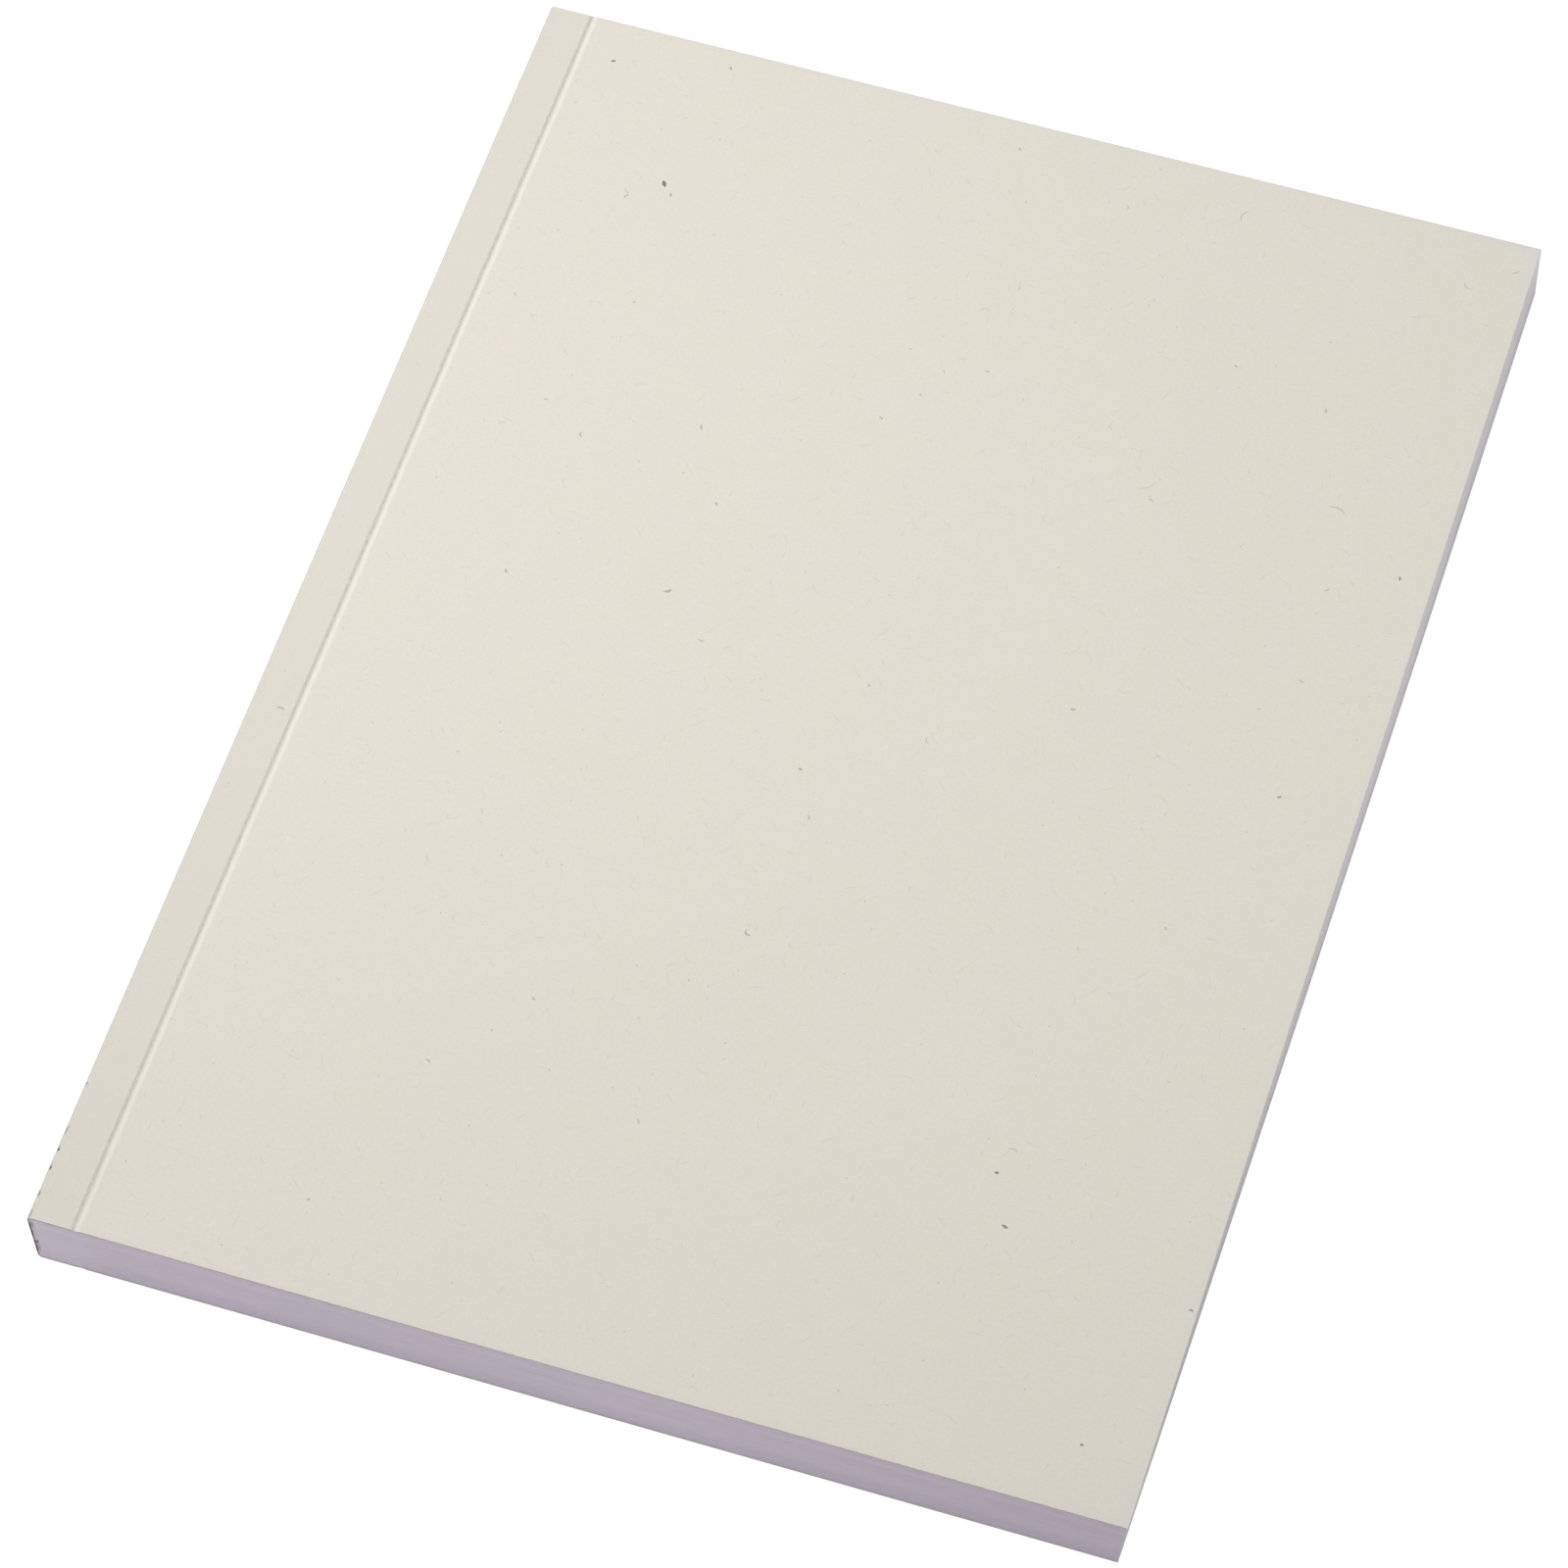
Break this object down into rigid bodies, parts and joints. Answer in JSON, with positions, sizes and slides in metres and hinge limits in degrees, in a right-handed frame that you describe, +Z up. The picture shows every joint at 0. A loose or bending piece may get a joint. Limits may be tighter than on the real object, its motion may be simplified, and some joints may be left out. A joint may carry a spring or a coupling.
{
  "type": "softcover notebook",
  "caption": "Plain A5 softcover notebook, perfect bound: creased natural card cover glued round a flush-trimmed block of blank leaves, both covers open.",
  "frame": {"origin": "middle of the underside, the outer face of the back cover", "axes": "+X from the spine to the fore edge, +Y from the tail to the head, +Z up through the pages to the front cover"},
  "size_m": [0.148, 0.21, 0.0103],
  "materials": {
    "cover_card": "matt uncoated recycled card, pale grey cream, flecked with fine fibres",
    "page_paper": "matt trimmed edges of white leaves with a pale lavender cast",
    "binding_glue": "hot-melt binding glue, satin, pale amber white"
  },
  "bodies": {
    "book_block": {"page_block": "page_paper", "cover_spine": "cover_card", "spine_glue": "binding_glue"},
    "front_cover": {"front_cover": "cover_card"},
    "back_cover": {"back_cover": "cover_card"}
  },
  "joints": [
    {"name": "front_cover_hinge", "type": "hinge", "parent": "book_block", "child": "front_cover", "pos_m": [-0.0674, 0, 0.01032], "axis": [0, -1, 0], "range_deg": [0, 180]},
    {"name": "back_cover_hinge", "type": "hinge", "parent": "book_block", "child": "back_cover", "pos_m": [-0.0674, 0, -0.00002], "axis": [0, 1, 0], "range_deg": [0, 180]}
  ]
}
